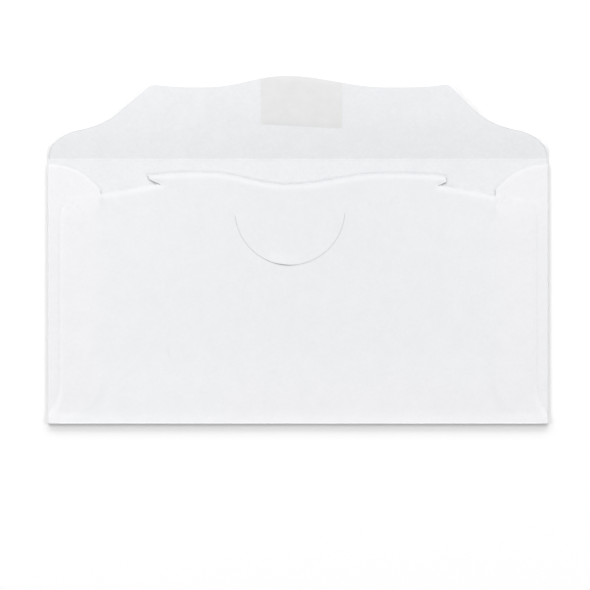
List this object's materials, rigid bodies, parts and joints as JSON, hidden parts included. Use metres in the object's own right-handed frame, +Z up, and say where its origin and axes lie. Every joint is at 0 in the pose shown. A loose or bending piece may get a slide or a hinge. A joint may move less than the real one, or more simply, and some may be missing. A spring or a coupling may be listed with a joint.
{
  "type": "envelope",
  "caption": "Small white paper envelope lying open on its face: folded pocket with bonded side seams, a wavy top flap and a half-moon cut for its tip.",
  "frame": {"origin": "centre of the address face, the outer face of the front panel, which lies on the table", "axes": "+X along the envelope's length, +Y across it towards the open flap, +Z up out of its back"},
  "size_m": [0.1682, 0.117, 0.001],
  "materials": {
    "paper": "uncoated white wove paper, matte",
    "gum": "dried gum film, faintly glossy"
  },
  "bodies": {
    "root": {"folded_sheet": "paper", "flap_gum_patch": "gum"}
  },
  "joints": []
}
